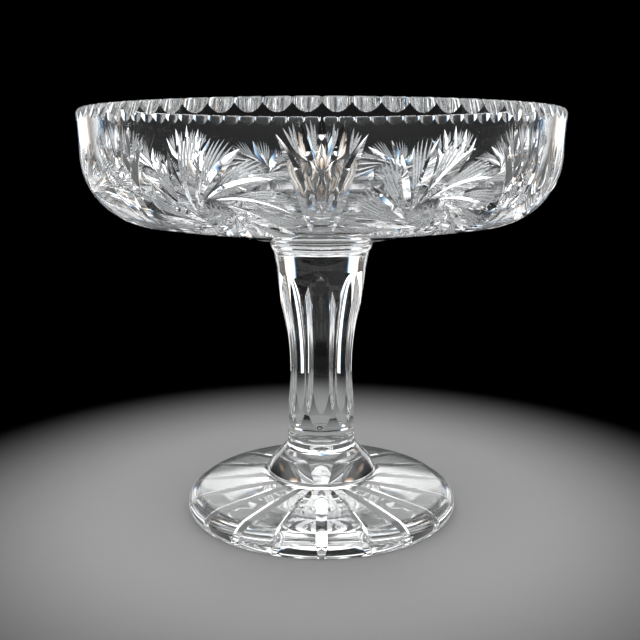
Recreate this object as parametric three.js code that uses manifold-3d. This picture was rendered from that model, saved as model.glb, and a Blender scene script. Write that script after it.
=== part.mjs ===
// Pedestal fruit bowl in cut lead crystal: a low bowl with a scalloped rim on a fluted stem and a rayed foot.
// Millimetres, +Z up. The origin is the centre of the face that the foot stands on, and -Y is the front.
import * as THREE from "three";
import { mergeVertices } from "three/addons/utils/BufferGeometryUtils.js";
import Module from "manifold-3d";

const wasm = await Module();
wasm.setup();

const degrees = Math.PI / 180;

// Heights of the five pieces, stacked from the table up
const footHeight = 36.5;
const footWaferHeight = 5.5;
const stemHeight = 102;
const bowlWaferHeight = 7.6;
const bowlHeight = 65.4;

// Foot: a flat resting ring round a ground hollow, a rolled edge, a sloping top and a dome
const footRadius = 75.5;
const footRestOuter = 74;
const footRestInner = 56;
const footHollow = 2.4;
const footEdgeRise = 3.4;
const footTopRadius = 68;
const footTopHeight = 11.3;
const domeToeRadius = 33.6;
const domeToeHeight = 18.4;
const domeRadius = 30.2;
const domeRise = 2.2;
const domeShoulder = 24.4;
const domeShoulderHeight = 29.7;
const domeShoulderLean = 4;

// Star under the foot: V cuts that run out to a point near the middle and at the edge
const footRays = 18;
const rayDepth = 1.9;
const rayRunOut = 0.12;
const rayTip = 9;
const rayFull = 24;
const rayFade = 60;
const rayEnd = 73.2;
const mitreHalfAngle = 56 * degrees;
const mitreReach = 4;

// Stem: a round taper with eight hollow flutes, whose arched ends run out where the taper is round again
const stemFootRadius = 18.4;
const stemTopRadius = 26.2;
const fluteCount = 8;
const fluteTurn = -2.7 * degrees;
const fluteHollow = 20;
const fluteSpread = 39 * degrees;
const fluteFootRadius = 18.1;
const fluteFootRise = 5;
const fluteTopRadius = 24.3;
const fluteTopDrop = 9;
const fluteRunOut = 0.25;
const stemSwell = 20;
const stemSwellRise = 21;
const flutePull = 10.4;
const flutePullRise = 45;
const fluteReach = 12;
const fluteSteps = 10;

// Wafers: a beaded one on the foot and a flaring one under the bowl
const waferBead = 0.7;
const footWaferGroove = 2.9;
const bowlWaferGroove = 3.3;
const bowlWaferWaist = 27.5;
const bowlWaferFlare = 28.5;
const bowlWaferLip = 0.4;
const bowlWaferSpread = 1.6;
const bowlWaferRadius = 38.6;

// Bowl: a flat pad, a sloping floor, a round knuckle and a wall that leans out a little up to the rim
const rimRadius = 125.3;
const rimThickness = 6.5;
const rimRound = 1.2;
const padMargin = 0.6;
const floorThickness = 9;
const floorSlope = 8 * degrees;
const knuckleRadius = 36;
const wallLean = 2.5 * degrees;
const innerKnuckleRadius = 29;
const innerLean = 3.5 * degrees;

// Rim: thumb cuts side by side round the outer edge, which meet in cusps
const scallopCount = 68;
const scallopRadius = 11;
const scallopDepth = 3.05;
const scallopTilt = 24 * degrees;
const scallopBand = 8;

// Pattern: eight fans and eight pinwheels in turn round the side of the bowl, drawn on its skin in distances
// across it and down from the rim
const patternRepeats = 8;
const patternTurn = 0.35 * degrees;
const leafDepth = 2;
const leafRunOut = 0.15;
const leafSteps = 3;

// Fan: a middle blade and two pairs of blades, which come together in a root
const middleBlade = { tip: [0, 6.2], pull: [0, 28], root: [0, 51] };
const nextBlade = { tip: [9.3, 8.6], pull: [5.4, 26], root: [1.9, 45] };
const outerBlade = { tip: [18.4, 14], pull: [4.4, 36], root: [4.7, 62] };

// Pinwheel: vanes that leave a round hub along its edge
const hubDrop = 49.5;
const hubRadius = 8.4;
const vaneCount = 12;
const vaneReach = 34;
const vaneTurn = 1 * degrees;
const vaneBow = 1.6;

// Facets round each turned piece
const bowlFacets = scallopCount;
const footFacets = 2 * footRays;
const stemFacets = 4 * fluteCount;
const scallopFacets = 16;

const footWaferBase = footHeight;
const stemBase = footWaferBase + footWaferHeight;
const bowlWaferBase = stemBase + stemHeight;
const bowlBase = bowlWaferBase + bowlWaferHeight;
const rimHeight = bowlBase + bowlHeight;
const bowlPadRadius = bowlWaferRadius + padMargin;

// A closed solid from a geometry: shared corners merged and the empty triangles at the poles left out
function solidOf(geometry) {
  geometry.deleteAttribute("normal");
  geometry.deleteAttribute("uv");
  const merged = mergeVertices(geometry);
  const corners = merged.index.array;
  const triangles = [];
  for (let i = 0; i < corners.length; i += 3) {
    const [a, b, c] = corners.slice(i, i + 3);
    if (a !== b && b !== c && c !== a) {
      triangles.push(a, b, c);
    }
  }
  return new wasm.Manifold(new wasm.Mesh({
    numProp: 3,
    vertProperties: new Float32Array(merged.attributes.position.array),
    triVerts: new Uint32Array(triangles),
  }));
}

function geometryOf(solid) {
  const mesh = solid.getMesh();
  const geometry = new THREE.BufferGeometry();
  geometry.setAttribute("position", new THREE.BufferAttribute(new Float32Array(mesh.vertProperties), 3));
  geometry.setIndex(new THREE.BufferAttribute(new Uint32Array(mesh.triVerts), 1));
  geometry.computeVertexNormals();
  return geometry;
}

// A solid of revolution about Z from a profile of (radius, height) points that starts and ends on the axis
function turned(profile, facets) {
  const facetAngle = 2 * Math.PI / facets;
  const lathe = new THREE.LatheGeometry(profile, facets, facetAngle / 2);
  return solidOf(lathe.rotateX(Math.PI / 2));
}

// The horizontal direction at an angle from the front, counted towards +X
function outward(angle) {
  return new THREE.Vector3(Math.sin(angle), -Math.cos(angle), 0);
}

// A point at a radius and height in the upright plane at that angle
function at(angle, radius, height) {
  return outward(angle).multiplyScalar(radius).setZ(height);
}

// The glass that a wheel takes away: a bar with the section of the wheel's edge, as points to the side and up
// from its keel, which follows the stations, each with the way up out of the glass
function wheelCut(stations, section) {
  const positions = [];
  for (const { keel, up, side } of stations) {
    for (const { x, y } of section) {
      positions.push(...keel.clone().addScaledVector(side, x).addScaledVector(up, y).toArray());
    }
  }
  const corners = section.length;
  const last = corners * (stations.length - 1);
  const faces = [];
  for (let k = 1; k < corners - 1; k += 1) {
    faces.push(0, k + 1, k, last, last + k, last + k + 1);
  }
  for (let base = 0; base < last; base += corners) {
    for (let k = 0; k < corners; k += 1) {
      const a = base + k;
      const b = base + (k + 1) % corners;
      faces.push(a, b, b + corners, a, b + corners, a + corners);
    }
  }
  const bar = new THREE.BufferGeometry();
  bar.setAttribute("position", new THREE.BufferAttribute(new Float32Array(positions), 3));
  bar.setIndex(faces);
  return solidOf(bar);
}

const mitreHalfWidth = mitreReach * Math.tan(mitreHalfAngle);
const mitreEdge = [
  new THREE.Vector2(0, 0),
  new THREE.Vector2(mitreHalfWidth, mitreReach),
  new THREE.Vector2(-mitreHalfWidth, mitreReach),
];

// Foot

const footTopSlope = (domeToeHeight - footTopHeight) / (footTopRadius - domeToeRadius);

function footOutline() {
  const path = new THREE.Path();
  path.moveTo(0, footHollow);
  path.quadraticCurveTo(footRestInner / 2, footHollow, footRestInner, 0);
  path.lineTo(footRestOuter, 0);
  path.quadraticCurveTo(footRadius, 0, footRadius, footEdgeRise);
  path.quadraticCurveTo(footRadius, footTopHeight - footTopSlope * (footRadius - footTopRadius),
    footTopRadius, footTopHeight);
  path.lineTo(domeToeRadius, domeToeHeight);
  path.quadraticCurveTo(domeRadius, domeToeHeight + footTopSlope * (domeToeRadius - domeRadius),
    domeRadius, domeToeHeight + domeRise);
  path.quadraticCurveTo(domeShoulder + domeShoulderLean, domeShoulderHeight - domeShoulderLean,
    domeShoulder, domeShoulderHeight);
  path.quadraticCurveTo(domeShoulder - domeShoulderLean, domeShoulderHeight + domeShoulderLean,
    stemFootRadius + waferBead, footHeight);
  path.lineTo(0, footHeight);
  return path.getPoints(3);
}

// One ray of the star, with its keel in the glass between the two points where it runs out
function ray(angle) {
  const up = new THREE.Vector3(0, 0, -1);
  const side = outward(angle - Math.PI / 2);
  const stations = [];
  const sinks = [[rayTip, -rayRunOut], [rayFull, rayDepth], [rayFade, rayDepth], [rayEnd, -rayRunOut]];
  for (const [radius, depth] of sinks) {
    const surface = footHollow * Math.max(0, 1 - (radius / footRestInner) ** 2);
    stations.push({ keel: at(angle, radius, surface + depth), up, side });
  }
  return wheelCut(stations, mitreEdge);
}

function footSolid() {
  let solid = turned(footOutline(), footFacets);
  for (let i = 0; i < footRays; i += 1) {
    solid = solid.subtract(ray(2 * Math.PI * i / footRays));
  }
  return solid;
}

// Wafer on the foot: two soft beads

function footWaferSolid() {
  const grooveHeight = footWaferBase + footWaferGroove;
  const path = new THREE.Path();
  path.moveTo(0, footWaferBase);
  path.lineTo(stemFootRadius + waferBead, footWaferBase);
  path.quadraticCurveTo(stemFootRadius + waferBead, grooveHeight, stemFootRadius, grooveHeight);
  path.quadraticCurveTo(stemFootRadius + waferBead, (grooveHeight + stemBase) / 2, stemFootRadius, stemBase);
  path.lineTo(0, stemBase);
  return turned(path.getPoints(3), stemFacets);
}

// Stem, whose neighbouring flutes are drawn in different steps so that their arris stays one clean line

function stemSolid() {
  const fluteFoot = stemBase + fluteFootRise;
  const fluteTop = bowlWaferBase - fluteTopDrop;
  const blank = new THREE.Path();
  blank.moveTo(0, stemBase);
  blank.lineTo(stemFootRadius, stemBase);
  blank.lineTo(fluteFootRadius, fluteFoot);
  blank.quadraticCurveTo(stemSwell, fluteFoot + stemSwellRise, fluteTopRadius, fluteTop);
  blank.lineTo(stemTopRadius, bowlWaferBase);
  blank.lineTo(0, bowlWaferBase);
  let solid = turned(blank.getPoints(9), stemFacets);

  const bottom = new THREE.QuadraticBezierCurve(
    new THREE.Vector2(fluteFootRadius + fluteRunOut, fluteFoot),
    new THREE.Vector2(flutePull, fluteFoot + flutePullRise),
    new THREE.Vector2(fluteTopRadius + fluteRunOut, fluteTop),
  );
  const round = new THREE.Path();
  round.absarc(0, fluteHollow, fluteHollow, -Math.PI / 2 - fluteSpread, -Math.PI / 2 + fluteSpread, false);
  const edge = round.getPoints(3);
  const halfWidth = fluteHollow * Math.sin(fluteSpread);
  edge.push(new THREE.Vector2(halfWidth, fluteReach), new THREE.Vector2(-halfWidth, fluteReach));
  for (let i = 0; i < fluteCount; i += 1) {
    const angle = fluteTurn + 2 * Math.PI * i / fluteCount;
    const up = outward(angle);
    const side = outward(angle - Math.PI / 2);
    const steps = fluteSteps + i % 2;
    const stations = bottom.getPoints(steps).map((p) => ({ keel: at(angle, p.x, p.y), up, side }));
    solid = solid.subtract(wheelCut(stations, edge));
  }
  return solid;
}

// Wafer under the bowl: a bead and a flare

function bowlWaferSolid() {
  const grooveHeight = bowlWaferBase + bowlWaferGroove;
  const path = new THREE.Path();
  path.moveTo(0, bowlWaferBase);
  path.lineTo(stemTopRadius, bowlWaferBase);
  path.quadraticCurveTo(bowlWaferWaist, (bowlWaferBase + grooveHeight) / 2, bowlWaferWaist, grooveHeight);
  path.quadraticCurveTo(bowlWaferFlare, bowlBase - bowlWaferSpread, bowlWaferRadius, bowlBase - bowlWaferLip);
  path.lineTo(bowlWaferRadius, bowlBase);
  path.lineTo(0, bowlBase);
  return turned(path.getPoints(4), stemFacets);
}

// Bowl

// One side of the bowl, outside or inside, from its flat pad up to the rim, as the centre of its knuckle
// and the ends of that arc
function bowlSide(padHeight, slope, knuckle, lean, edgeRadius) {
  const floorIn = new THREE.Vector2(-Math.sin(slope), Math.cos(slope));
  const wallIn = new THREE.Vector2(-Math.cos(lean), Math.sin(lean));
  const floorReach = floorIn.x * bowlPadRadius + floorIn.y * padHeight + knuckle;
  const wallReach = wallIn.x * edgeRadius + wallIn.y * rimHeight + knuckle;
  const cross = floorIn.cross(wallIn);
  const centre = new THREE.Vector2(
    (floorReach * wallIn.y - wallReach * floorIn.y) / cross,
    (floorIn.x * wallReach - wallIn.x * floorReach) / cross,
  );
  return { centre, knuckle, floorEnd: slope - Math.PI / 2, wallEnd: -lean };
}

const bowlOutside = bowlSide(bowlBase, floorSlope, knuckleRadius, wallLean, rimRadius);
const bowlInside = bowlSide(bowlBase + floorThickness, floorSlope, innerKnuckleRadius, innerLean,
  rimRadius - rimThickness);

function bowlOutline() {
  const outside = new THREE.Path();
  outside.moveTo(0, bowlBase);
  outside.lineTo(bowlPadRadius, bowlBase);
  outside.absarc(bowlOutside.centre.x, bowlOutside.centre.y, bowlOutside.knuckle,
    bowlOutside.floorEnd, bowlOutside.wallEnd, false);
  outside.lineTo(rimRadius - scallopBand * Math.tan(wallLean), rimHeight - scallopBand);
  outside.lineTo(rimRadius, rimHeight);
  outside.lineTo(rimRadius - rimThickness + rimRound, rimHeight);
  outside.lineTo(rimRadius - rimThickness, rimHeight - rimRound);
  outside.absarc(bowlInside.centre.x, bowlInside.centre.y, bowlInside.knuckle,
    bowlInside.wallEnd, bowlInside.floorEnd, true);
  outside.lineTo(bowlPadRadius, bowlBase + floorThickness);
  outside.lineTo(0, bowlBase + floorThickness);
  return outside.getPoints(3);
}

// One thumb cut: a leaning cylinder that bites into the outer edge of the rim
function scallop(angle) {
  const length = 4 * scallopRadius;
  const halfFacet = Math.PI / scallopFacets;
  const wheel = new THREE.CylinderGeometry(scallopRadius, scallopRadius, length,
    scallopFacets, 1, false, halfFacet);
  wheel.rotateX(Math.PI / 2);
  wheel.rotateY(-scallopTilt);
  wheel.translate(rimRadius + scallopRadius / Math.cos(scallopTilt) - scallopDepth, 0, rimHeight);
  wheel.rotateZ(angle - Math.PI / 2);
  return solidOf(wheel);
}

// The outside of the bowl at a distance down from the rim: its radius and height, and the way out there
function bowlSkin(drop) {
  const { centre, knuckle, floorEnd, wallEnd } = bowlOutside;
  const wallOut = new THREE.Vector2(Math.cos(wallEnd), Math.sin(wallEnd));
  const wallFoot = centre.clone().addScaledVector(wallOut, knuckle);
  const wallLength = wallFoot.distanceTo(new THREE.Vector2(rimRadius, rimHeight));
  const turn = Math.max(floorEnd, Math.min(wallEnd, wallEnd - (drop - wallLength) / knuckle));
  const out = new THREE.Vector2(Math.cos(turn), Math.sin(turn));
  const down = new THREE.Vector2(out.y, -out.x);
  const straight = drop - wallLength - knuckle * (wallEnd - turn);
  const point = centre.clone().addScaledVector(out, knuckle).addScaledVector(down, straight);
  return { point, out };
}

// A place on the skin, across from an upright line at an angle round the bowl and down from the rim
function onSkin(axis, { x: across, y: drop }) {
  const { point, out } = bowlSkin(drop);
  const angle = axis + across / point.x;
  return { place: at(angle, point.x, point.y), up: at(angle, out.x, out.y) };
}

// A leaf: a V cut along a curve on the skin, deepest half way and run out to a point at both ends
function leaf(axis, tip, pull, root) {
  const curve = new THREE.QuadraticBezierCurve(tip, pull, root);
  const stations = [];
  for (let i = 0; i <= leafSteps; i += 1) {
    const t = i / leafSteps;
    const { place, up } = onSkin(axis, curve.getPoint(t));
    const ahead = onSkin(axis, curve.getPoint(t).addScaledVector(curve.getTangent(t), leafRunOut)).place;
    const side = up.clone().cross(ahead.sub(place)).normalize();
    const depth = 4 * t * (1 - t) * (leafDepth + leafRunOut) - leafRunOut;
    stations.push({ keel: place.addScaledVector(up, -depth), up, side });
  }
  return wheelCut(stations, mitreEdge);
}

// One blade of a fan, on the right of its axis or mirrored to the left
function blade(axis, { tip, pull, root }, hand) {
  const place = ([across, drop]) => new THREE.Vector2(hand * across, drop);
  return leaf(axis, place(tip), place(pull), place(root));
}

// One vane of a pinwheel: it leaves the hub along its edge and bows a little to the right, seen from outside
function vane(axis, tipAngle) {
  const hub = new THREE.Vector2(0, hubDrop);
  const spread = Math.acos(hubRadius / vaneReach);
  const spoke = (angle) => new THREE.Vector2(Math.cos(angle), -Math.sin(angle));
  const start = hub.clone().addScaledVector(spoke(tipAngle + spread), hubRadius);
  const end = hub.clone().addScaledVector(spoke(tipAngle), vaneReach);
  const middle = start.clone().lerp(end, 0.5).addScaledVector(spoke(tipAngle + spread), 2 * vaneBow);
  return leaf(axis, start, middle, end);
}

function fan(axis) {
  const cuts = [blade(axis, middleBlade, 1)];
  for (const hand of [-1, 1]) {
    cuts.push(blade(axis, nextBlade, hand), blade(axis, outerBlade, hand));
  }
  return cuts;
}

function pinwheel(axis) {
  const cuts = [];
  for (let i = 0; i < vaneCount; i += 1) {
    cuts.push(vane(axis, vaneTurn + 2 * Math.PI * i / vaneCount));
  }
  return cuts;
}

function bowlSolid() {
  let solid = turned(bowlOutline(), bowlFacets);
  const pitch = 2 * Math.PI / scallopCount;
  for (let i = 0; i < scallopCount; i += 1) {
    solid = solid.subtract(scallop((i + 0.5) * pitch));
  }
  for (let i = 0; i < patternRepeats; i += 1) {
    const axis = patternTurn + 2 * Math.PI * i / patternRepeats;
    for (const cut of [...fan(axis), ...pinwheel(axis + Math.PI / patternRepeats)]) {
      solid = solid.subtract(cut);
    }
  }
  return solid;
}

// Clear colourless crystal, with a trace of cool tint where the glass is thick
function piece(name, solid) {
  const crystal = new THREE.MeshStandardMaterial({
    color: 0xeef3f6,
    roughness: 0.03,
    metalness: 0,
    transparent: true,
    opacity: 0.35,
  });
  const mesh = new THREE.Mesh(geometryOf(solid), crystal);
  mesh.name = name;
  return mesh;
}

const fruitBowl = new THREE.Group();
fruitBowl.name = "pedestal_fruit_bowl";
fruitBowl.add(piece("foot", footSolid()));
fruitBowl.add(piece("foot_wafer", footWaferSolid()));
fruitBowl.add(piece("stem", stemSolid()));
fruitBowl.add(piece("bowl_wafer", bowlWaferSolid()));
fruitBowl.add(piece("bowl", bowlSolid()));

export default fruitBowl;
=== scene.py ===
"""Pedestal fruit bowl in clear cut crystal: a foot, a stem and a low bowl.

The pieces are welded hot, with a wafer of glass at each joint.
"""

import math

import bpy
from mathutils import Matrix, Vector


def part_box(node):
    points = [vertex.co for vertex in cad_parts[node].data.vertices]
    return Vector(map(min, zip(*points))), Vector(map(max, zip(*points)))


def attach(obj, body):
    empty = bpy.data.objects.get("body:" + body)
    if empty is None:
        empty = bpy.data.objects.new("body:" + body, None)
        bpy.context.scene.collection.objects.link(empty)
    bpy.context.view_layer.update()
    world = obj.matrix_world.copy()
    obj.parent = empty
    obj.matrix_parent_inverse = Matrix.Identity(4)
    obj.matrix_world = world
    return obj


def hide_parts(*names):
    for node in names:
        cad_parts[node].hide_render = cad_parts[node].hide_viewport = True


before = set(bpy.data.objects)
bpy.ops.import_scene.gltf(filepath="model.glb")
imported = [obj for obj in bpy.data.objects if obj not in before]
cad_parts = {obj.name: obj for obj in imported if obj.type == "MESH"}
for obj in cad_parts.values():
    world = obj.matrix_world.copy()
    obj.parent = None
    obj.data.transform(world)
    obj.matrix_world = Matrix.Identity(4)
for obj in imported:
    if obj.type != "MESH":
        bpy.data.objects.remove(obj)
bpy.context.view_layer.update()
bpy.ops.object.select_all(action="DESELECT")


# FOOT
# A gather of lead crystal pressed to a disc with a dome in its middle, ground flat below round a shallow
# hollow. A star of eighteen rays is cut under it with a V-edged wheel and polished. It shows through the top.

mm = 0.001
foot_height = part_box("foot")[1].z / mm
foot_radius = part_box("foot")[1].x / mm
foot_rest = (56.0, 73.7)
foot_hollow = 2.4
foot_edge_rise = 3.4
foot_turn = (68.0, 11.3)
foot_edge_drop = 2.7
dome_toe = (33.6, 18.4)
dome_side = (30.2, 20.6)
dome_shoulder = (24.4, 29.7)
dome_lean = 4.0
neck_radius = 19.1
ray_count = 18
ray_depth = 1.9
ray_marks = (9.0, 24.0, 60.0, 73.5)
ray_lift = 0.1
ray_spare = 0.6
mitre_angle = math.radians(56)


class Field:
    """A value that varies over the glass: a shader node's output, used in sums as a number is."""

    def __init__(self, tree, socket):
        self.tree, self.socket = tree, socket

    def node(self, kind, output, values, **settings):
        """An output of a new node whose inputs take fields or plain values."""
        made = self.tree.nodes.new(kind)
        for key, value in settings.items():
            setattr(made, key, value)
        for key, value in values.items():
            if isinstance(value, Field):
                self.tree.links.new(value.socket, made.inputs[key])
            else:
                made.inputs[key].default_value = value
        return Field(self.tree, made.outputs[output])

    def math(self, operation, a, b):
        return self.node("ShaderNodeMath", 0, {0: a, 1: b}, operation=operation)

    def __add__(self, other):
        return self.math("ADD", self, other)

    def __radd__(self, other):
        return self.math("ADD", other, self)

    def __sub__(self, other):
        return self.math("SUBTRACT", self, other)

    def __rsub__(self, other):
        return self.math("SUBTRACT", other, self)

    def __mul__(self, other):
        return self.math("MULTIPLY", self, other)

    def __rmul__(self, other):
        return self.math("MULTIPLY", other, self)

    def __lt__(self, other):
        return self.math("LESS_THAN", self, other)


crystal_ior = 1.545
crystal = bpy.data.materials.new("clear_crystal")
crystal.use_nodes = True
shader = crystal.node_tree.nodes["Principled BSDF"]
shader.inputs["IOR"].default_value = crystal_ior
shader.inputs["Transmission Weight"].default_value = 1.0
coords = crystal.node_tree.nodes.new("ShaderNodeTexCoord")
place = Field(crystal.node_tree, coords.outputs["Object"])
height = place.node("ShaderNodeSeparateXYZ", "Z", {0: place})
haze = place.node("ShaderNodeTexNoise", "Fac", {"Vector": place, "Scale": 90.0, "Detail": 3.0})
scuffs = place.node("ShaderNodeTexNoise", "Fac", {"Vector": place, "Scale": 2200.0, "Detail": 2.0})
waves = place.node("ShaderNodeTexNoise", "Fac", {"Vector": place, "Scale": 45.0, "Detail": 1.0})
worn = height < 0.05 * mm
roughness = 0.002 + 0.010 * haze + worn * (0.02 + 0.05 * scuffs)
polish = waves.node("ShaderNodeBump", "Normal", {"Strength": 0.06, "Distance": 0.4 * mm, "Height": waves})
crystal_tints = {6: (0.97, 0.985, 0.99, 1), 7: (0.99, 0.995, 1.0, 1)}
tint = place.node("ShaderNodeMix", 2, {0: haze, **crystal_tints}, data_type="RGBA")
crystal.node_tree.links.new(tint.socket, shader.inputs["Base Color"])
crystal.node_tree.links.new(roughness.socket, shader.inputs["Roughness"])
crystal.node_tree.links.new(polish.socket, shader.inputs["Normal"])

needle_glass = bpy.data.materials.new("needle_cut_crystal")
needle_glass.use_nodes = True
needle_shader = needle_glass.node_tree.nodes["Principled BSDF"]
needle_shader.inputs["IOR"].default_value = crystal_ior
needle_shader.inputs["Transmission Weight"].default_value = 0.4
needle_coords = needle_glass.node_tree.nodes.new("ShaderNodeTexCoord")
needle_place = Field(needle_glass.node_tree, needle_coords.outputs["Object"])
grain_size = {"Scale": 1800.0, "Detail": 2.0}
grain = needle_place.node("ShaderNodeTexNoise", "Fac", {"Vector": needle_place, **grain_size})
needle_glass.node_tree.links.new((0.15 + 0.25 * grain).socket, needle_shader.inputs["Roughness"])
satin_tints = {6: (0.86, 0.9, 0.94, 1), 7: (0.98, 0.99, 1.0, 1)}
needle_tint = needle_place.node("ShaderNodeMix", 2, {0: grain, **satin_tints}, data_type="RGBA")
needle_glass.node_tree.links.new(needle_tint.socket, needle_shader.inputs["Base Color"])

weld = bpy.data.materials.new("hot_weld")
weld.use_nodes = True
weld.node_tree.nodes.remove(weld.node_tree.nodes["Principled BSDF"])
seam = weld.node_tree.nodes.new("ShaderNodeBsdfTransparent")
weld.node_tree.links.new(seam.outputs["BSDF"], weld.node_tree.nodes["Material Output"].inputs["Surface"])
clear_finish, weld_finish, satin_finish = range(3)


def bend(start, pull, end, steps):
    """Points of a soft curve from start to end, drawn towards pull, without the start itself."""
    points = []
    for step in range(1, steps + 1):
        t = step / steps
        weights = ((1 - t) ** 2, 2 * t * (1 - t), t * t)
        points.append(tuple(sum(w * p[i] for w, p in zip(weights, (start, pull, end))) for i in (0, 1)))
    return points


def turned(name, outline, steps):
    """A piece of revolution: a vertex drawn out along (radius, height) points, then spun upright."""
    bpy.ops.object.select_all(action="DESELECT")
    bpy.ops.mesh.primitive_plane_add(size=mm)
    piece = bpy.context.object
    piece.name = piece.data.name = name
    bpy.ops.object.mode_set(mode="EDIT")
    bpy.ops.mesh.merge(type="CENTER")
    bpy.ops.transform.translate(value=(outline[0][0] * mm, 0, outline[0][1] * mm))
    for (r0, z0), (r1, z1) in zip(outline, outline[1:]):
        move = {"value": ((r1 - r0) * mm, 0, (z1 - z0) * mm)}
        bpy.ops.mesh.extrude_vertices_move(TRANSFORM_OT_translate=move)
    bpy.ops.mesh.select_all(action="SELECT")
    bpy.ops.mesh.spin(steps=steps, angle=2 * math.pi, center=(0, 0, 0), axis=(0, 0, 1))
    bpy.ops.mesh.select_all(action="SELECT")
    bpy.ops.mesh.remove_doubles(threshold=1e-6)
    bpy.ops.mesh.normals_make_consistent(inside=False)
    bpy.ops.object.mode_set(mode="OBJECT")
    for glass in (crystal, weld, needle_glass):
        piece.data.materials.append(glass)
    return piece


def v_bar(steps):
    """A three-cornered bar one unit high, in so many steps: the V edge of a wheel before it is bent."""
    bpy.ops.object.select_all(action="DESELECT")
    bpy.ops.mesh.primitive_circle_add(vertices=3, radius=1, fill_type="NGON")
    bar = bpy.context.object
    bpy.ops.object.mode_set(mode="EDIT")
    bpy.ops.mesh.select_all(action="SELECT")
    for _ in range(steps):
        bpy.ops.mesh.extrude_region_move(TRANSFORM_OT_translate={"value": (0, 0, 1 / steps)})
    bpy.ops.object.mode_set(mode="OBJECT")
    return bar


def bent(bar, path, spare, angle):
    """A copy of the bar bent along path(t), which gives the spot, the ways out and across, and the depth.

    The bar stands out of the glass by the spare length, and its sides lean out by the angle.
    """
    tool = bar.copy()
    tool.data = bar.data.copy()
    bpy.context.collection.objects.link(tool)
    for vertex in tool.data.vertices:
        spot, out, across, depth = path(vertex.co.z)
        keel = spot - out * depth
        lift = depth + spare
        side = 0 if abs(vertex.co.x) < 0.1 else math.copysign(1, vertex.co.x)
        if side:
            keel = keel + out * lift + across * (side * lift * math.tan(angle))
        vertex.co = keel * mm
    return tool


def ground(piece, tools, count, finish=clear_finish):
    """Cuts the tools out of the piece, each of them count times round it. No two of them touch."""
    bpy.ops.object.select_all(action="DESELECT")
    for tool in tools:
        for glass in piece.data.materials:
            tool.data.materials.append(glass)
        for face in tool.data.polygons:
            face.material_index = finish
        for turn in range(1, count):
            copy = tool.copy()
            copy.data = tool.data.copy()
            copy.data.transform(Matrix.Rotation(2 * math.pi * turn / count, 4, "Z"))
            bpy.context.collection.objects.link(copy)
            copy.select_set(True)
        tool.select_set(True)
    wheel = tools[0]
    bpy.context.view_layer.objects.active = wheel
    bpy.ops.object.join()
    bpy.ops.object.mode_set(mode="EDIT")
    bpy.ops.mesh.select_all(action="SELECT")
    bpy.ops.mesh.normals_make_consistent(inside=False)
    bpy.ops.object.mode_set(mode="OBJECT")
    bpy.ops.object.select_all(action="DESELECT")
    piece.select_set(True)
    bpy.context.view_layer.objects.active = piece
    cut = piece.modifiers.new("wheel", "BOOLEAN")
    cut.operation = "DIFFERENCE"
    cut.solver = "MANIFOLD"
    cut.object = wheel
    bpy.ops.object.modifier_apply(modifier=cut.name)
    bpy.data.objects.remove(wheel, do_unlink=True)


def outward(angle):
    """The level direction at an angle from the front, counted towards +X."""
    return Vector((math.sin(angle), -math.cos(angle), 0))


def straight(start, end, steps):
    """Points of a straight line from start to end, without the start itself."""
    return [tuple(Vector(start).lerp(Vector(end), step / steps)) for step in range(1, steps + 1)]


foot_slope = (dome_toe[1] - foot_turn[1]) / (foot_turn[0] - dome_toe[0])
dome_foot = (dome_side[0], dome_toe[1] + foot_slope * (dome_toe[0] - dome_side[0]))
dome_swell = (dome_shoulder[0] + dome_lean, dome_shoulder[1] - dome_lean)
dome_crown = (dome_shoulder[0] - dome_lean, dome_shoulder[1] + dome_lean)
foot_edge = (foot_radius, foot_edge_rise)
foot_outline = [(0, foot_hollow)]
foot_outline += bend((0, foot_hollow), (foot_rest[0] / 2, foot_hollow), (foot_rest[0], 0), 16)
foot_outline += [(foot_rest[1], 0)]
foot_outline += bend((foot_rest[1], 0), (foot_radius, 0), foot_edge, 8)
foot_outline += bend(foot_edge, (foot_radius, foot_turn[1] - foot_edge_drop), foot_turn, 14)
foot_outline += straight(foot_turn, dome_toe, 16)
foot_outline += bend(dome_toe, dome_foot, dome_side, 10)
foot_outline += bend(dome_side, dome_swell, dome_shoulder, 10)
foot_outline += bend(dome_shoulder, dome_crown, (neck_radius, foot_height), 10)
foot_outline += [(0, foot_height)]
foot = turned("foot_glass", foot_outline, 360)


def ray_path(t):
    """A ray of the star: it sinks into the hollow near the middle and runs out at the resting ring's edge."""
    tip, full, fade, end = ray_marks
    radius = tip + (end - tip) * t
    sink = min(1, (radius - tip) / (full - tip), (end - radius) / (end - fade))
    surface = foot_hollow * max(0, 1 - (radius / foot_rest[0]) ** 2)
    spot = outward(0) * radius + Vector((0, 0, surface))
    return spot, Vector((0, 0, -1)), outward(math.pi / 2), (ray_depth + ray_lift) * sink - ray_lift


ray_bar = v_bar(40)
ray = bent(ray_bar, ray_path, ray_spare, mitre_angle)
bpy.data.objects.remove(ray_bar, do_unlink=True)
ground(foot, [ray], ray_count)


def polished(piece, welds):
    """Smooth glass with crisp cut edges. Inside the welds, as (height, radius), two pieces are one."""
    bpy.ops.object.select_all(action="DESELECT")
    piece.select_set(True)
    bpy.context.view_layer.objects.active = piece
    bpy.ops.object.mode_set(mode="EDIT")
    bpy.ops.mesh.select_all(action="SELECT")
    bpy.ops.mesh.remove_doubles(threshold=2e-6)
    bpy.ops.mesh.normals_make_consistent(inside=False)
    bpy.ops.object.mode_set(mode="OBJECT")
    bpy.ops.object.shade_smooth_by_angle(angle=math.radians(20))
    for face in piece.data.polygons:
        spot = face.center / mm
        flat = abs(face.normal.z) > 0.999
        for weld_height, weld_radius in welds:
            if flat and abs(spot.z - weld_height) < 0.01 and math.hypot(spot.x, spot.y) < weld_radius:
                face.material_index = weld_finish


polished(foot, [(foot_height, neck_radius)])
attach(foot, "root")
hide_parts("foot")


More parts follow.
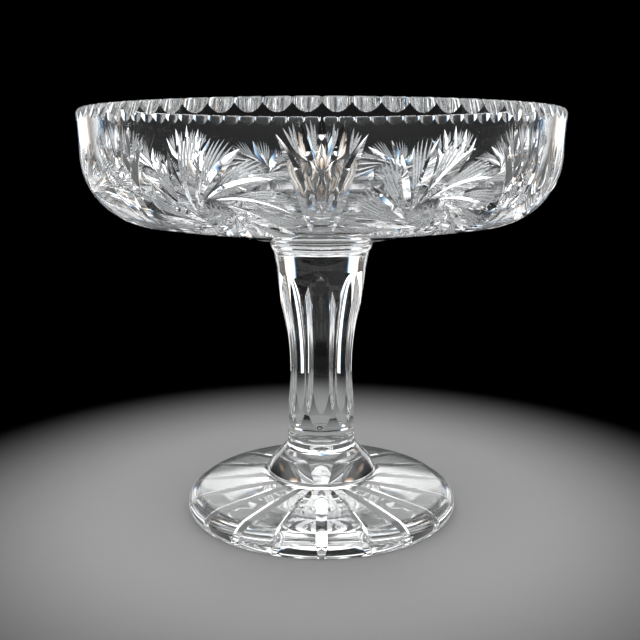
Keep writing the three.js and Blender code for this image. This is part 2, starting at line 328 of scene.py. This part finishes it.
# WAFER ON THE FOOT
# A small gather of crystal pressed between the foot and the stem while all three were hot.
# It shows as two soft beads with a fine groove between them.

foot_wafer_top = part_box("foot_wafer")[1].z / mm
stem_foot_radius = 18.4
groove = (18.3, foot_height + 2.9)
upper_bead = (19.4, (groove[1] + foot_wafer_top) / 2)
foot_wafer_outline = [(0, foot_height), (neck_radius, foot_height)]
foot_wafer_outline += bend((neck_radius, foot_height), (neck_radius, groove[1]), groove, 8)
foot_wafer_outline += bend(groove, upper_bead, (stem_foot_radius, foot_wafer_top), 8)
foot_wafer_outline += [(0, foot_wafer_top)]
foot_wafer = turned("foot_wafer_glass", foot_wafer_outline, 192)
polished(foot_wafer, [(foot_height, neck_radius), (foot_wafer_top, stem_foot_radius)])
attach(foot_wafer, "root")
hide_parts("foot_wafer")


# STEM
# A solid taper of crystal, drawn out hot, with eight flutes ground down it on a broad wheel.
# The flutes run out in arches, where the taper is round again below and above.

stem_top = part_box("stem")[1].z / mm
stem_top_radius = 26.2
flute_foot = foot_wafer_top + 5.0
flute_top = stem_top - 9.0
stem_waist = (18.1, flute_foot)
stem_shoulder = (24.3, flute_top)
stem_outline = [(0, foot_wafer_top), (stem_foot_radius, foot_wafer_top), stem_waist]
stem_outline += bend(stem_waist, (20.0, flute_foot + 21.0), stem_shoulder, 60)
stem_outline += bend(stem_shoulder, (25.0, flute_top + 4.5), (stem_top_radius, stem_top), 8)
stem_outline += [(0, stem_top)]
stem = turned("stem_glass", stem_outline, 192)

flute_turn = math.radians(-2.7)
flute_hollow = 20.0
flute_start, flute_pull, flute_end = (18.35, flute_foot), (10.4, flute_foot + 45.0), (24.55, flute_top)
flute_line = [flute_start] + bend(flute_start, flute_pull, flute_end, 56)


def flute(angle):
    """The part of the wheel that meets the stem: a round bar whose keel follows the bottom of the flute."""
    bpy.ops.object.select_all(action="DESELECT")
    bpy.ops.mesh.primitive_circle_add(vertices=128, radius=1, fill_type="NGON")
    bar = bpy.context.object
    bpy.ops.object.mode_set(mode="EDIT")
    bpy.ops.mesh.select_all(action="SELECT")
    for _ in range(len(flute_line) - 1):
        bpy.ops.mesh.extrude_region_move(TRANSFORM_OT_translate={"value": (0, 0, 1)})
    bpy.ops.object.mode_set(mode="OBJECT")
    for vertex in bar.data.vertices:
        keel, height = flute_line[round(vertex.co.z)]
        out = outward(angle) * (keel + flute_hollow * (1 + vertex.co.y))
        across = outward(angle + math.pi / 2) * (flute_hollow * vertex.co.x)
        vertex.co = (out + across + Vector((0, 0, height))) * mm
    return bar


ground(stem, [flute(flute_turn)], 4)
ground(stem, [flute(flute_turn + math.pi / 4)], 4)
polished(stem, [(foot_wafer_top, stem_foot_radius), (stem_top, stem_top_radius)])
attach(stem, "root")
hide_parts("stem")


# WAFER UNDER THE BOWL
# The gather of crystal that joins the stem to the bowl, pressed out hot into a flare under the bowl's pad.
# A soft bead runs round its lower edge.

bowl_wafer_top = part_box("bowl_wafer")[1].z / mm
bowl_wafer_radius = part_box("bowl_wafer")[1].x / mm
flare_waist = (27.5, stem_top + 3.3)
flare_bead = (flare_waist[0], (stem_top + flare_waist[1]) / 2)
flare_throat = (28.5, bowl_wafer_top - 1.6)
flare_edge = (bowl_wafer_radius, bowl_wafer_top - 0.4)
bowl_wafer_outline = [(0, stem_top), (stem_top_radius, stem_top)]
bowl_wafer_outline += bend((stem_top_radius, stem_top), flare_bead, flare_waist, 10)
bowl_wafer_outline += bend(flare_waist, flare_throat, flare_edge, 16)
bowl_wafer_outline += [(bowl_wafer_radius, bowl_wafer_top), (0, bowl_wafer_top)]
bowl_wafer = turned("bowl_wafer_glass", bowl_wafer_outline, 192)
polished(bowl_wafer, [(stem_top, stem_top_radius), (bowl_wafer_top, bowl_wafer_radius)])
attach(bowl_wafer, "root")
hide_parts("bowl_wafer")


# BOWL
# A thick low bowl of crystal blown in a mould, welded on by a flat pad. Fans and pinwheels are cut in turn
# round its side with V-edged wheels, and thumb cuts side by side round the rim, where they meet in cusps.
# The broad cuts are polished clear. The fine needles and the stars in the hubs keep a satin finish.

rim_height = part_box("bowl")[1].z / mm
rim_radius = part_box("bowl")[1].x / mm
rim_thickness = 6.5
rim_round = 1.2
floor_thickness = 9.0
floor_slope = math.radians(8)
knuckle = 36.0
wall_lean = math.radians(2.5)
inner_knuckle = 29.0
inner_lean = math.radians(3.5)
pad_radius = bowl_wafer_radius + 0.6
pad_flat = 30.0
skin_steps = 84
inner_steps = 30


def bowl_arc(pad_height, radius, lean, edge):
    """Centre of the round between the bowl's sloping floor and its wall."""
    floor_in = Vector((-math.sin(floor_slope), math.cos(floor_slope)))
    wall_in = Vector((-math.cos(lean), math.sin(lean)))
    floor_reach = floor_in.dot(Vector((pad_radius, pad_height))) + radius
    wall_reach = wall_in.dot(Vector((edge, rim_height))) + radius
    cross = floor_in.x * wall_in.y - floor_in.y * wall_in.x
    return Vector(((floor_reach * wall_in.y - wall_reach * floor_in.y) / cross,
                   (floor_in.x * wall_reach - wall_in.x * floor_reach) / cross))


outer_centre = bowl_arc(bowl_wafer_top, knuckle, wall_lean, rim_radius)
rim_inside = rim_radius - rim_thickness
inside_floor = bowl_wafer_top + floor_thickness
inner_centre = bowl_arc(inside_floor, inner_knuckle, inner_lean, rim_inside)
floor_end = floor_slope - math.pi / 2
wall_foot = outer_centre + knuckle * Vector((math.cos(wall_lean), -math.sin(wall_lean)))
wall_length = (Vector((rim_radius, rim_height)) - wall_foot).length
arc_length = knuckle * (-wall_lean - floor_end)


def skin(drop):
    """The bowl's outside at a distance down from the rim, as (radius, height), and the way out of it."""
    turn = max(floor_end, min(-wall_lean, -wall_lean - (drop - wall_length) / knuckle))
    out = Vector((math.cos(turn), math.sin(turn)))
    past_the_arc = drop - wall_length - knuckle * (-wall_lean - turn)
    return outer_centre + out * knuckle + Vector((out.y, -out.x)) * past_the_arc, out


knuckle_end = outer_centre + knuckle * Vector((math.cos(floor_end), math.sin(floor_end)))
floor_length = (knuckle_end - Vector((pad_radius, bowl_wafer_top))).length
outside_length = wall_length + arc_length + floor_length
rim_edge, rim_lip = (rim_inside + rim_round, rim_height), (rim_inside, rim_height - rim_round)
inner_wall_foot = inner_centre + inner_knuckle * Vector((math.cos(inner_lean), -math.sin(inner_lean)))
bowl_outline = [(0, bowl_wafer_top), (bowl_wafer_radius, bowl_wafer_top)]
bowl_outline += [tuple(skin(outside_length * (1 - i / skin_steps))[0]) for i in range(skin_steps)]
bowl_outline += [(rim_radius, rim_height), rim_edge]
bowl_outline += bend(rim_edge, (rim_inside, rim_height), rim_lip, 5)
bowl_outline += straight(rim_lip, inner_wall_foot, 6)
for i in range(1, inner_steps + 1):
    turn = -inner_lean + (floor_end + inner_lean) * i / inner_steps
    bowl_outline += [tuple(inner_centre + inner_knuckle * Vector((math.cos(turn), math.sin(turn))))]
pad_inside = (pad_radius, inside_floor)
bowl_outline += straight(bowl_outline[-1], pad_inside, 8)[:-1]
bowl_outline += bend(bowl_outline[-1], pad_inside, (pad_flat, inside_floor), 8)
bowl_outline += straight((pad_flat, inside_floor), (0, inside_floor), 2)
bowl = turned("bowl_glass", bowl_outline, 204)

# Thumb cuts: a round wheel held askew bites into the outer edge of the rim, with a nick where two meet.
scallop_count = 68
scallop_radius = 11.0
scallop_depth = 3.05
scallop_tilt = math.radians(24)
pitch = 2 * math.pi / scallop_count
nick_depth = 0.45
nick_angle = math.radians(76)
nick_overrun = 3.0
nick_spare = 0.3


def thumb(angle):
    """The part of the wheel that cuts one scallop, at an angle from the front."""
    bpy.ops.object.select_all(action="DESELECT")
    reach = 4 * scallop_radius * mm
    bpy.ops.mesh.primitive_cylinder_add(vertices=72, radius=scallop_radius * mm, depth=reach)
    wheel = bpy.context.object
    away = rim_radius + scallop_radius / math.cos(scallop_tilt) - scallop_depth
    lean = Matrix.Rotation(-scallop_tilt, 4, "Y")
    wheel.data.transform(Matrix.Rotation(angle - math.pi / 2, 4, "Z")
                         @ Matrix.Translation((away * mm, 0, rim_height * mm)) @ lean)
    return wheel


def nick_path(t):
    """A shallow V over the rim, at a cusp between two thumb cuts."""
    radius = rim_inside - nick_overrun + (rim_thickness + 2 * nick_overrun) * t
    spot = outward(0) * radius + Vector((0, 0, rim_height))
    return spot, Vector((0, 0, 1)), outward(math.pi / 2), nick_depth


ground(bowl, [thumb(0.5 * pitch)], scallop_count // 2)
ground(bowl, [thumb(1.5 * pitch)], scallop_count // 2)
nick_bar = v_bar(1)
ground(bowl, [bent(nick_bar, nick_path, nick_spare, nick_angle)], scallop_count)
bpy.data.objects.remove(nick_bar, do_unlink=True)

# Fans: five blades come together in a root, with needles between the blades. Pinwheels: vanes leave a round
# hub along its edge, with needles between them, and a star of crossing cuts fills the hub. Places are in
# millimetres across from the upright line through the middle and down from the rim.
repeats = 8
leaf_lift = 0.06
leaf_spare = 0.5
blade_bar = v_bar(14)
needle_bar = v_bar(8)


def leaf(bar, axis, tip, pull, root, depth, angle=mitre_angle):
    """A V cut along a soft curve on the bowl's skin, deepest half way, with a point at both ends."""

    def on_skin(t):
        weights = ((1 - t) ** 2, 2 * t * (1 - t), t * t)
        across, drop = [sum(w * p[i] for w, p in zip(weights, (tip, pull, root))) for i in (0, 1)]
        (radius, height), out = skin(drop)
        way = outward(axis + across / radius)
        return way * radius + Vector((0, 0, height)), way * out.x + Vector((0, 0, out.y))

    def path(t):
        spot, out = on_skin(t)
        along = on_skin(t + 0.01)[0] - on_skin(t - 0.01)[0]
        sink = 4 * t * (1 - t)
        return spot, out, out.cross(along).normalized(), (depth + leaf_lift) * sink - leaf_lift

    return bent(bar, path, leaf_spare, angle)


def between(a, b):
    """The place half way between two places."""
    return tuple((x + y) / 2 for x, y in zip(a, b))


fan_axis = 0.0
hub_axis = math.pi / repeats
hub_drop = 49.5
hub_radius = 8.4
vane_count = 12
vane_reach = 34.0
vane_turn = math.radians(1)
vane_depth = 1.85
vane_bow = 3.2
blade_depth = 1.9


def spoke(angle, radius):
    """A place on the bowl at an angle and a distance from the middle of the hub."""
    return radius * math.cos(angle), hub_drop - radius * math.sin(angle)


def swirl(bar, tip_angle, reach, start_at, depth):
    """A cut of the pinwheel on a line that grazes the hub, from a share of that line out to the reach."""
    graze = tip_angle + math.acos(hub_radius / reach)
    foot_point, tip = spoke(graze, hub_radius), spoke(tip_angle, reach)
    start = tuple(f + (t - f) * start_at for f, t in zip(foot_point, tip))
    bow = vane_bow * (1 - start_at)
    across, drop = between(start, tip)
    middle = (across + bow * math.cos(graze), drop - bow * math.sin(graze))
    return leaf(bar, hub_axis, start, middle, tip, depth)


vane_angles = [vane_turn + 2 * math.pi * i / vane_count for i in range(vane_count)]
vanes = [swirl(blade_bar, angle, vane_reach, 0, vane_depth) for angle in vane_angles]
middle_blade = leaf(blade_bar, fan_axis, (0, 6.2), (0, 28), (0, 51), blade_depth)
outer_blades, next_blades = [], []
for hand in (-1, 1):
    tip, pull, root = (hand * 18.4, 14), (hand * 4.4, 36), (hand * 4.7, 62)
    outer_blades.append(leaf(blade_bar, fan_axis, tip, pull, root, blade_depth))
    tip, pull, root = (hand * 9.3, 8.6), (hand * 5.4, 26), (hand * 1.9, 45)
    next_blades.append(leaf(blade_bar, fan_axis, tip, pull, root, blade_depth))
ground(bowl, outer_blades + vanes[::2], repeats)
ground(bowl, [middle_blade] + vanes[1::2], repeats)
ground(bowl, [next_blades[0]], repeats)
ground(bowl, [next_blades[1]], repeats)

needle_depth = 0.38
needle_start = 0.36
needle_places = ((11.0, 34.0), (14.5, 35.0), (18.0, 35.6), (21.5, 35.2), (25.0, 34.4))
fan_needles = [
    [((-15.6, 11.6), (-9.0, 22.8)), ((-13.2, 10.8), (-9.0, 22.8)), ((-11.6, 9.6), (-9.0, 22.8))],
    [((-6.6, 9.6), (-2.4, 22.0)), ((-4.7, 8.4), (-2.4, 22.0)), ((-3.0, 10.0), (-2.4, 22.0))],
    [((4.7, 9.6), (4.3, 22.0)), ((6.3, 11.6), (4.3, 22.0)), ((8.6, 10.8), (4.3, 22.0))],
    [((12.5, 11.6), (10.6, 22.8)), ((14.5, 13.2), (10.6, 22.8)), ((15.6, 14.4), (10.6, 22.8))],
]
for place_in_gap, (lag, reach) in enumerate(needle_places):
    needle_angles = [angle - math.radians(lag) for angle in vane_angles]
    tools = [swirl(needle_bar, angle, reach, needle_start, needle_depth) for angle in needle_angles]
    for group in fan_needles:
        if place_in_gap < len(group):
            tip, root = group[place_in_gap]
            tools.append(leaf(needle_bar, fan_axis, tip, between(tip, root), root, needle_depth))
    ground(bowl, tools, repeats, finish=satin_finish)

star_ways = 6
star_offset = 2.1
star_half = 7.4
star_depth = 0.5
star_angle = math.radians(45)
for turn in range(star_ways):
    angle = math.pi * (turn + 0.5) / star_ways
    tools = []
    for offset in (-star_offset, star_offset):
        middle = (offset * math.cos(angle), hub_drop + offset * math.sin(angle))
        start = (middle[0] + star_half * math.sin(angle), middle[1] - star_half * math.cos(angle))
        end = (middle[0] - star_half * math.sin(angle), middle[1] + star_half * math.cos(angle))
        tools.append(leaf(needle_bar, hub_axis, start, middle, end, star_depth, star_angle))
    ground(bowl, tools, repeats, finish=satin_finish)

for bar in (blade_bar, needle_bar):
    bpy.data.objects.remove(bar, do_unlink=True)
polished(bowl, [(bowl_wafer_top, bowl_wafer_radius)])
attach(bowl, "root")
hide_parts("bowl")


# STAGE
# A pale floor, its colour painted darker out to black away from the glass: a painted pool of light.
# Soft panels light the glass from behind, above, below and the front, and leave the wall straight behind it
# dark. The camera sees the whole room dark.

floor_radius = 270.0
floor_drop = 0.2
# Where the painted pool of light on the floor starts to fade, and where it has faded to black.
painted_pool_start, painted_pool_end = 110.0, 265.0
pale = 0.42
bpy.ops.object.select_all(action="DESELECT")
bpy.ops.mesh.primitive_circle_add(vertices=128, radius=floor_radius * mm, fill_type="NGON",
                                  location=(0, 0, -floor_drop * mm))
floor = bpy.context.object
floor.name = "floor"
paper = bpy.data.materials.new("pale_floor_painted_pool")
paper.use_nodes = True
paper_shader = paper.node_tree.nodes["Principled BSDF"]
paper_shader.inputs["Roughness"].default_value = 0.7
paper_shader.inputs["Specular IOR Level"].default_value = 0.0
paper_coords = paper.node_tree.nodes.new("ShaderNodeTexCoord")
paper_place = Field(paper.node_tree, paper_coords.outputs["Object"])
away = paper_place.node("ShaderNodeVectorMath", "Value", {0: paper_place}, operation="LENGTH")
# Painted pool of light: the floor's colour is pale near the glass and painted darker, out to black at its
# edge.
fade = {1: painted_pool_start * mm, 2: painted_pool_end * mm, 3: pale, 4: 0.0}
painted_light_pool = away.node("ShaderNodeMapRange", 0, {0: away, **fade}, interpolation_type="SMOOTHSTEP")
paper.node_tree.links.new(painted_light_pool.socket, paper_shader.inputs["Base Color"])
floor.data.materials.append(paper)

world = bpy.data.worlds.new("soft_room")
world.use_nodes = True
room = world.node_tree
room_coords = room.nodes.new("ShaderNodeTexCoord")
way = Field(room, room_coords.outputs["Generated"])
way_x = way.node("ShaderNodeSeparateXYZ", "X", {0: way})
way_y = way.node("ShaderNodeSeparateXYZ", "Y", {0: way})
way_z = way.node("ShaderNodeSeparateXYZ", "Z", {0: way})
turn_from_back = way.math("ARCTAN2", way.math("ABSOLUTE", way_x, 0.0), way_y)


def rising(value, low, high):
    """0 below low, 1 above high, with a soft step between."""
    return value.node("ShaderNodeMapRange", 0, {0: value, 1: low, 2: high}, interpolation_type="SMOOTHSTEP")


def panel(low, high, soft):
    """A level band of the room, by the height on its round, with soft edges."""
    return rising(way_z, low, low + soft) * (1 - rising(way_z, high, high + soft))


# Turns are in radians from straight behind, and heights run from -1 straight down to 1 straight up.
overhead = rising(way_z, 0.72, 0.85)
behind = (1 - rising(turn_from_back, 0.4, 0.6)) * panel(0.19, 0.65, 0.09)
below = (1 - rising(turn_from_back, 1.0, 1.4)) * panel(-0.85, -0.62, 0.1)
front = rising(turn_from_back, 1.3, 1.7) * (panel(0.1, 0.7, 0.15) + 0.4 * panel(-0.85, -0.5, 0.1))
wall = rising(turn_from_back, 0.6, 0.9) * rising(way_z, -0.75, -0.45)
unseen = 1 - way.node("ShaderNodeLightPath", "Is Camera Ray", {})
room_grey = 0.95 * overhead + 2.2 * behind + 0.45 * below + 0.95 * front + 0.12 * wall
channels = {}
for channel, shift in (("Red", -0.006), ("Green", 0.0), ("Blue", 0.006)):
    near = rising(turn_from_back, 0.42 - shift, 0.5 - shift)
    far = rising(turn_from_back, 0.68 - shift, 0.78 - shift)
    strips = near * (1 - far) * panel(-0.7, 0.2, 0.15)
    channels[channel] = unseen * (room_grey + 2.1 * strips)
room_light = way.node("ShaderNodeCombineColor", 0, channels)
room.links.new(room_light.socket, room.nodes["Background"].inputs["Color"])
bpy.context.scene.world = world

camera_place = Vector((-0.8, -462.33, 194.28))
camera_dip = 0.1903
camera_lens = 47.99
bpy.ops.object.camera_add(location=camera_place * mm)
camera = bpy.context.object
camera.rotation_euler = (math.pi / 2 - camera_dip, 0, 0)
camera.data.lens = camera_lens
bpy.context.scene.camera = camera
bpy.context.scene.view_settings.view_transform = "Standard"
bpy.context.scene.cycles.max_bounces = 40
bpy.context.scene.cycles.glossy_bounces = 24
bpy.context.scene.cycles.transmission_bounces = 40
